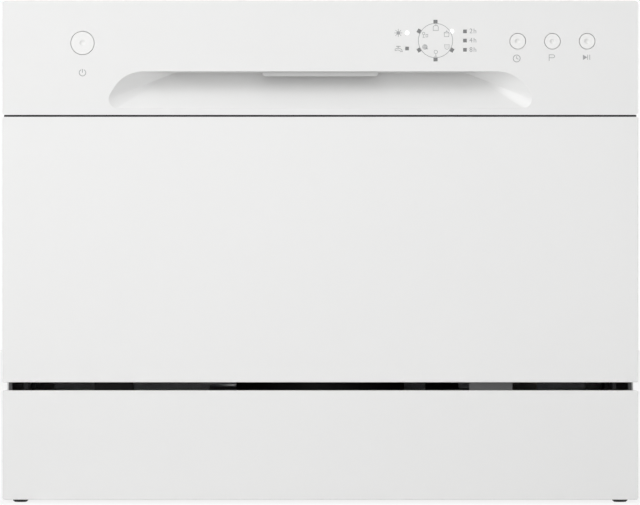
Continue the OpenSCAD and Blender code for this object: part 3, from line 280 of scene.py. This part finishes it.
# ---- Control panel ----
# One ABS moulding in satin white. The finger recess is a scoop whose ends close in towards the back; its edge,
# the button bores and the outer corners have small radii. It screws to the door from behind.
print_step = 0.04 * MM
lip_height, lip_radius, near = 373 * MM, 1.7 * MM, 0.1 * MM

moulding = surface("white_moulding", (0.80, 0.80, 0.795), 0.38, coat=0.08, mottle=0.01, grain=1600, bump=0.03)
panel = solid_of("control_fascia")
lip = [e for e in panel.edges
       if all(v.co.y < front_face + near and abs(v.co.z - lip_height) < near for v in e.verts)]
bmesh.ops.bevel(panel, geom=lip, offset=lip_radius, offset_type="OFFSET", affect="EDGES", segments=5,
                profile=0.5, material=-1, clamp_overlap=True)
soften(panel, 0.2 * MM, 3, sharper_than=18)
for v in panel.verts:
    if v.co.y < front_face + print_step:
        v.co.y = front_face + print_step
flat_faced(piece("control_panel", panel, moulding, "control_fascia", smooth=17))

# ---- Push buttons ----
# Four round caps of the same plastic, flush with the panel, each with a shallow dimple for the fingertip.
# They slide in their sleeves and spring back.
cap_plastic = surface("button_plastic", (0.81, 0.81, 0.80), 0.32, coat=0.15, mottle=0.01, grain=1500, bump=0.02)
button_names = ("power_button", "delay_button", "program_button", "start_button")
for name in button_names:
    dressed(name, cap_plastic, 0.2 * MM, 3, smooth=40, flat=0.02)

# ---- Button gap shade ----
# A thin black ring lies in the gap round each cap, a little behind the panel's face: painted shade that makes
# the gap round each button look dark.
button_gap_painted_shade = surface("button_gap_painted_shade", (0.03, 0.03, 0.032), 0.6, mottle=0.2, grain=900, bump=0.05)
gap_shade_rings = bmesh.new()
for name in button_names:
    cap_low, cap_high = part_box(name)
    cap_middle = (cap_low + cap_high) / 2
    cap_radius = (cap_high.x - cap_low.x) / 2
    ring = bmesh.new()
    corners = [ring.verts.new((cap_middle.x + cap_radius + out * MM, front_face + back * MM, cap_middle.z))
               for out, back in ((0.04, 0.7), (0.4, 0.7), (0.4, 1.2), (0.04, 1.2))]
    ring.faces.new(corners)
    profile = list(ring.verts) + list(ring.edges)
    bmesh.ops.delete(ring, geom=list(ring.faces), context="FACES_ONLY")
    bmesh.ops.spin(ring, geom=profile, cent=(cap_middle.x, 0, cap_middle.z), axis=(0, 1, 0),
                   angle=2 * math.pi, steps=48, use_merge=True)
    bmesh.ops.recalc_face_normals(ring, faces=ring.faces)
    turned = bpy.data.meshes.new("ring")
    ring.to_mesh(turned)
    ring.free()
    gap_shade_rings.from_mesh(turned)
    bpy.data.meshes.remove(turned)
piece("button_gap_shade", gap_shade_rings, button_gap_painted_shade, "control_fascia", stands_for=False)

# ---- Lamp windows ----
# Smoked windows flush in the panel over the lamps. Two of them are lit white, as in the photograph.
smoked = surface("smoked_window", (0.105, 0.108, 0.11), 0.22, coat=0.3, mottle=0.1, grain=700, bump=0.01)
lit = surface("lit_window", (0.98, 0.99, 1.0), 0.3, mottle=0.01, grain=700, bump=0.01)
lit.node_tree.nodes["Principled BSDF"].inputs["Emission Color"].default_value = (1, 1, 1, 1)
lit.node_tree.nodes["Principled BSDF"].inputs["Emission Strength"].default_value = 0.35
windows = solid_of("indicator_lenses")
soften(windows, 0.12 * MM, 1)
shown_windows = piece("lamp_windows", windows, smoked, "indicator_lenses")
shown_windows.data.materials.append(lit)
ring_x, ring_z, ring_lamps = 99.7 * MM, 399.6 * MM, 16.2 * MM
lit_turn = math.radians(30)
lit_places = [(75.1 * MM, 406.35 * MM),
              (ring_x + ring_lamps * math.cos(lit_turn), ring_z + ring_lamps * math.sin(lit_turn))]
window_reach = 2.6 * MM
for face in shown_windows.data.polygons:
    if any(math.hypot(face.center.x - x, face.center.z - z) < window_reach for x, z in lit_places):
        face.material_index = 1

# ---- Printed signs ----
# Thin grey pad-printed signs on the panel: generic pictures for power, delay, start, salt and water, the dishes
# inside the ring of program lamps, a P and the delay times.
ink = surface("grey_ink", (0.36, 0.365, 0.37), 0.5, mottle=0.08, grain=1500, bump=0.02)
ink_y = front_face + print_step * 0.5
signs = bmesh.new()


def stroke(points, width, closed=False):
    """A flat line of ink through points of the panel's plane, in millimetres."""
    ends = list(zip(points, points[1:] + points[:1])) if closed else list(zip(points, points[1:]))
    for (x0, z0), (x1, z1) in ends:
        run = Vector((x1 - x0, z1 - z0))
        side = Vector((-run.y, run.x)).normalized() * width / 2
        tip = run.normalized() * width / 2
        corners = [(x0 - tip.x + side.x, z0 - tip.y + side.y), (x0 - tip.x - side.x, z0 - tip.y - side.y),
                   (x1 + tip.x - side.x, z1 + tip.y - side.y), (x1 + tip.x + side.x, z1 + tip.y + side.y)]
        signs.faces.new([signs.verts.new((x * MM, ink_y, z * MM)) for x, z in corners])


def arc(cx, cz, radius, start, stop, width, steps=24):
    """A flat ring or part of one."""
    edge = []
    for i in range(steps + 1):
        a = math.radians(start + (stop - start) * i / steps)
        edge.append([signs.verts.new(((cx + r * math.cos(a)) * MM, ink_y, (cz + r * math.sin(a)) * MM))
                     for r in (radius - width / 2, radius + width / 2)])
    for (a0, a1), (b0, b1) in zip(edge, edge[1:]):
        signs.faces.new((a0, a1, b1, b0))


line = 0.62
# power: an open ring with a bar
arc(-205.6, 371.8, 2.8, 115, 425, line, 40)
stroke([(-205.6, 372.1), (-205.6, 374.7)], line)
# delay: a clock face
arc(169.9, 384.1, 3.0, 0, 360, line, 32)
stroke([(169.9, 386.0), (169.9, 384.1), (171.3, 383.6)], line * 0.8)
# start and pause: a triangle and two bars
play_corners = ((227.2, 382.8), (227.2, 387.4), (231.0, 385.1))
signs.faces.new([signs.verts.new((x * MM, ink_y, z * MM)) for x, z in play_corners])
for x in (231.3, 233.1):
    stroke([(x, 383.2), (x, 387.2)], 0.5)
# program: a P
stroke([(201.4, 387.3), (198.0, 387.3), (198.0, 382.3)], 0.5)
stroke([(198.0, 384.7), (201.4, 384.7)], 0.5)
arc(201.4, 386.0, 1.3, -90, 90, 0.5, 12)
# rinse aid: a sparkle
arc(67.5, 406.2, 0.8, 0, 360, 1.6, 16)
for k in range(8):
    beam = Vector((math.cos(math.radians(45 * k)), math.sin(math.radians(45 * k))))
    stroke([tuple(Vector((67.5, 406.2)) + beam * reach) for reach in (1.9, 3.2)], 0.45)
# water supply: a tap
stroke([(64.6, 391.0), (64.9, 392.3), (66.0, 392.9), (68.7, 392.9), (70.4, 391.9), (71.0, 390.1), (69.6, 390.0),
        (69.0, 390.9), (67.1, 391.5), (65.7, 391.1)], 0.42, closed=True)
stroke([(66.0, 394.6), (69.2, 394.6)], 0.6)
stroke([(67.4, 392.9), (67.4, 394.6)], 0.6)
# ring of programs, with small pictures inside: two pots, a bowl, a glass, a dish cover and two glasses
arc(ring_x / MM, ring_z / MM, 14.8, 0, 360, 0.5, 96)
stroke([(97.7, 408.3), (97.7, 411.5), (98.6, 412.5), (101.3, 412.5), (102.1, 411.5), (102.1, 408.3)], 0.42,
       closed=True)
stroke([(99.5, 413.2), (100.3, 413.2)], 0.5)
stroke([(107.2, 406.2), (107.6, 403.0), (111.1, 403.0), (111.5, 406.2)], 0.42, closed=True)
stroke([(107.3, 406.5), (109.3, 407.4), (111.4, 406.5)], 0.42)
stroke([(109.0, 407.9), (109.6, 407.9)], 0.5)
stroke([(107.4, 396.1), (107.7, 393.3), (109.0, 391.9), (110.2, 391.9), (111.4, 393.3), (111.7, 396.1)], 0.3,
       closed=True)
for k in range(3):
    stroke([(107.8 + 0.3 * k, 395.1 - k), (111.3 - 0.3 * k, 395.1 - k)], 0.2)
arc(99.95, 389.8, 1.5, 0, 360, 0.42, 20)
stroke([(99.95, 388.3), (99.95, 386.2)], 0.42)
stroke([(99.0, 386.0), (100.9, 386.0)], 0.42)
for k in range(4):
    arc(90.5, 394.1, 0.3 + 0.6 * k, 0, 360, 0.36, 20)
    stroke([(91.2 + 0.4 * k, 392.9 - 0.35 * k), (92.0 + 0.4 * k, 393.7 - 0.35 * k)], 0.3)
arc(89.4, 405.7, 1.1, 0, 360, 0.4, 16)
stroke([(89.4, 404.6), (89.4, 402.6)], 0.4)
stroke([(88.7, 402.4), (90.3, 402.4)], 0.4)
stroke([(91.4, 404.9), (91.5, 402.7), (92.9, 402.7), (93.1, 404.9)], 0.4, closed=True)

delay_x, letter_height, size_per_height = 132.1, 4.1, 1.42
for words, z in (("2h", 408.0), ("4h", 400.0), ("8h", 391.9)):
    letters = bpy.data.curves.new("letters", "FONT")
    letters.body = words
    letters.align_x = "CENTER"
    letters.size = letter_height * size_per_height * MM
    letters.space_character = 1.18
    holder = bpy.data.objects.new("letters", letters)
    flat = bpy.data.meshes.new_from_object(holder)
    upright = Matrix.Rotation(math.radians(90), 4, "X")
    flat.transform(Matrix.Translation((delay_x * MM, ink_y, (z - letter_height / 2) * MM)) @ upright)
    signs.from_mesh(flat)
    bpy.data.objects.remove(holder)
bmesh.ops.recalc_face_normals(signs, faces=signs.faces)
for face in signs.faces:
    if face.normal.y > 0:
        face.normal_flip()
piece("printed_signs", signs, ink, "control_fascia", stands_for=False)

# ---- Finger lever and latch ----
# A moulded paddle hangs through the ceiling of the recess and turns on its own bar; its arm reaches up to the
# latch. The latch is a black housing on the inner door with a spring-steel clip that grips the strike's nib.
lever_plastic = surface("lever_plastic", (0.70, 0.70, 0.695), 0.4, mottle=0.015, grain=1500, bump=0.02)
dressed("handle_lever", lever_plastic, 0.4 * MM, 3)
black = surface("black_plastic", (0.07, 0.07, 0.073), 0.5, mottle=0.25, grain=1300, bump=0.12)
zinc = surface("zinc_plate", (0.52, 0.53, 0.55), 0.36, metal=1.0, mottle=0.12, grain=420, bump=0.03)
dressed("latch_housing", black, 0.6 * MM)
dressed("latch_clip", zinc, 0.1 * MM, 1)
dressed("strike_plate", zinc, 0.3 * MM)

# ---- Stainless sheet ----
# The tank and the inner door are pressed from brushed stainless steel, with the grain running across. The
# dispenser's opening and the latch slot are punched.
stainless = surface("brushed_stainless", (0.60, 0.605, 0.61), 0.3, metal=1.0, mottle=0.06, grain=240, bump=0.05,
                    stretch=(0.06, 2, 2), wear=0.07)
dressed("tub", stainless, 0.5 * MM, 2, smooth=40)
dressed("door_liner", stainless, 0.3 * MM, 2)
dressed("filter_plate", stainless, 0.2 * MM, 1)
sheath = surface("heater_sheath", (0.42, 0.42, 0.43), 0.38, metal=1.0, mottle=0.2, grain=500, bump=0.05)
dressed("heater", sheath, 0, smooth=60)

# ---- Frame, hinges and fixings ----
# Steel pressings: the frame round the tank's mouth, zinc-plated but coloured dark grey as painted shade where
# it lies under the door;
# near-black hinge plates; zinc-plated arms, pins, rear panel and pan-head screws; and the grey wiring clip seen
# in the slot under the door.
black_steel = surface("black_steel", (0.03, 0.03, 0.032), 0.45, metal=0.3, mottle=0.2, grain=700, bump=0.06)
# Painted shade: the frame's zinc is darkened to the shade it lies in under the door.
frame_zinc_painted_shade = surface("zinc_painted_shade", (0.13, 0.132, 0.134), 0.5, metal=0.3, mottle=0.15, grain=420, bump=0.05)
clip_steel = surface("clip_steel", (0.47, 0.474, 0.478), 0.5, metal=0.3, mottle=0.15, grain=420, bump=0.05)
dressed("front_frame", frame_zinc_painted_shade, 0.2 * MM, 1)
dressed("hinge_brackets", black_steel, 0.4 * MM)
dressed("hinge_arms", zinc, 0.4 * MM)
dressed("hinge_pins", zinc, 0.4 * MM)
dressed("rear_panel", zinc, 0.15 * MM, 1)
dressed("cable_clip", clip_steel, 0.2 * MM, 1)
dressed("cabinet_screws", zinc, 0.5 * MM)
dressed("door_screws", zinc, 0.4 * MM)

# ---- Door springs ----
# Close-wound tension springs that carry the door's weight. Each lies along its hinge plate with a straight
# hook at both ends, and stays with the cabinet.
spring_turns = 46
spring_wire = 1.6 * MM
for side in ("left", "right"):
    low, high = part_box("door_spring_" + side)
    radius = (high.z - low.z) / 2
    middle = Vector(((low.x + high.x) / 2, 0, (low.z + high.z) / 2))
    reach_x = middle.x + (2.3 * MM if side == "right" else -2.3 * MM)
    coil_start, coil_end = low.y + 16 * MM, high.y - 15 * MM
    path = bpy.data.curves.new("spring_path", "CURVE")
    path.dimensions = "3D"
    path.bevel_depth = spring_wire / 2
    path.bevel_resolution = 2
    steps = spring_turns * 12
    points = [(reach_x, low.y + 2 * MM, middle.z), (reach_x, low.y + 9 * MM, middle.z)]
    winding = radius - spring_wire / 2
    for k in range(steps + 1):
        a = 2 * math.pi * k / 12
        along = coil_start + (coil_end - coil_start) * k / steps
        points.append((reach_x + winding * math.sin(a), along, middle.z + winding * math.cos(a)))
    points += [(reach_x, high.y - 8 * MM, middle.z), (reach_x, high.y - 2 * MM, middle.z)]
    run = path.splines.new("POLY")
    run.points.add(len(points) - 1)
    for point, place in zip(run.points, points):
        point.co = (*place, 1)
    holder = bpy.data.objects.new("spring_path", path)
    wound = bmesh.new()
    wound.from_mesh(bpy.data.meshes.new_from_object(holder))
    bpy.data.objects.remove(holder)
    piece("coil_" + side, wound, zinc, "door_spring_" + side, smooth=60)

# ---- Seals, feet and damping ----
# Moulded rubber: a grey seal round the tank's mouth, a black lip along the door's lower edge, feet pushed into
# the floor pan, and bitumen sheets stuck to the tank.
rubber = surface("black_rubber", (0.016, 0.016, 0.017), 0.62, mottle=0.3, grain=900, bump=0.15)
seal_rubber = surface("grey_rubber", (0.10, 0.10, 0.105), 0.6, mottle=0.2, grain=900, bump=0.12)
dressed("tub_gasket", seal_rubber, 1.2 * MM, 3)
dressed("lower_door_seal", rubber, 0.3 * MM)
for name in ("front_feet", "rear_feet"):
    dressed(name, rubber, 0.5 * MM, 3, smooth=50)
bitumen = surface("bitumen", (0.012, 0.012, 0.012), 0.8, mottle=0.4, grain=300, bump=0.4)
dressed("damping_mats", bitumen, 0.3 * MM, 1)

# ---- Floor pan, sump, pumps and water fittings ----
# Black and natural mouldings under and behind the tank: the floor pan with its ribs, the sump, both pumps, the
# inlet valve with its threaded nose, the drain spigot, the cord gland, the water chamber and the rubber hoses.
for name in ("base_tray", "sump", "wash_pump_housing", "drain_pump", "drain_outlet", "cord_gland",
             "float_switch"):
    dressed(name, black, 0.5 * MM)
dressed("wash_pump_motor", zinc, 0.8 * MM)
natural = surface("natural_nylon", (0.66, 0.65, 0.60), 0.42, mottle=0.08, grain=900, bump=0.06)
dressed("inlet_valve", natural, 0.5 * MM)
dressed("water_breather", natural, 1.5 * MM, 3)
dressed("hoses", rubber, 0, smooth=50)

# ---- Moulded parts inside the tank and pumps ----
# Grey polypropylene: spray arm with its jets, hub, filter, impellers, wheels, cutlery basket, dispenser and
# its lid. The rinse-aid cap and the catch are black, and the float is white.
grey = surface("grey_polypropylene", (0.30, 0.31, 0.325), 0.45, mottle=0.08, grain=1000, bump=0.08)
pale_grey = surface("pale_polypropylene", (0.50, 0.51, 0.52), 0.42, mottle=0.06, grain=1000, bump=0.07)
for name in ("spray_hub", "fine_filter", "wash_impeller", "drain_impeller", "front_wheels", "rear_wheels"):
    dressed(name, grey, 0.4 * MM)
dressed("spray_arm", pale_grey, 2.4 * MM, 4)
dressed("cutlery_basket", grey, 0.5 * MM)
dressed("dispenser_body", pale_grey, 0.5 * MM)
dressed("dispenser_lid", grey, 0.3 * MM)
dressed("dispenser_catch", black, 0.6 * MM)
dressed("rinse_cap", black, 0.6 * MM)
float_white = surface("float_white", (0.74, 0.74, 0.73), 0.4, mottle=0.02, grain=1200, bump=0.04)
dressed("overflow_float", float_white, 0.6 * MM, 3, smooth=50)

# ---- Rack ----
# Welded steel wire dipped in pale nylon, and two folding shelves of moulded plastic on round bars.
nylon = surface("nylon_coat", (0.55, 0.57, 0.60), 0.36, coat=0.25, mottle=0.05, grain=700, bump=0.06)
dressed("rack_basket", nylon, 0, smooth=60)
for name in ("cup_shelf_left", "cup_shelf_right"):
    dressed(name, nylon, 0.6 * MM)

# ---- Circuit boards ----
# Green boards behind the panel, with a switch under each button and a connector.
solder_mask = surface("solder_mask", (0.02, 0.11, 0.045), 0.35, coat=0.2, mottle=0.25, grain=600, bump=0.1)
dressed("control_board", solder_mask, 0.2 * MM, 1)
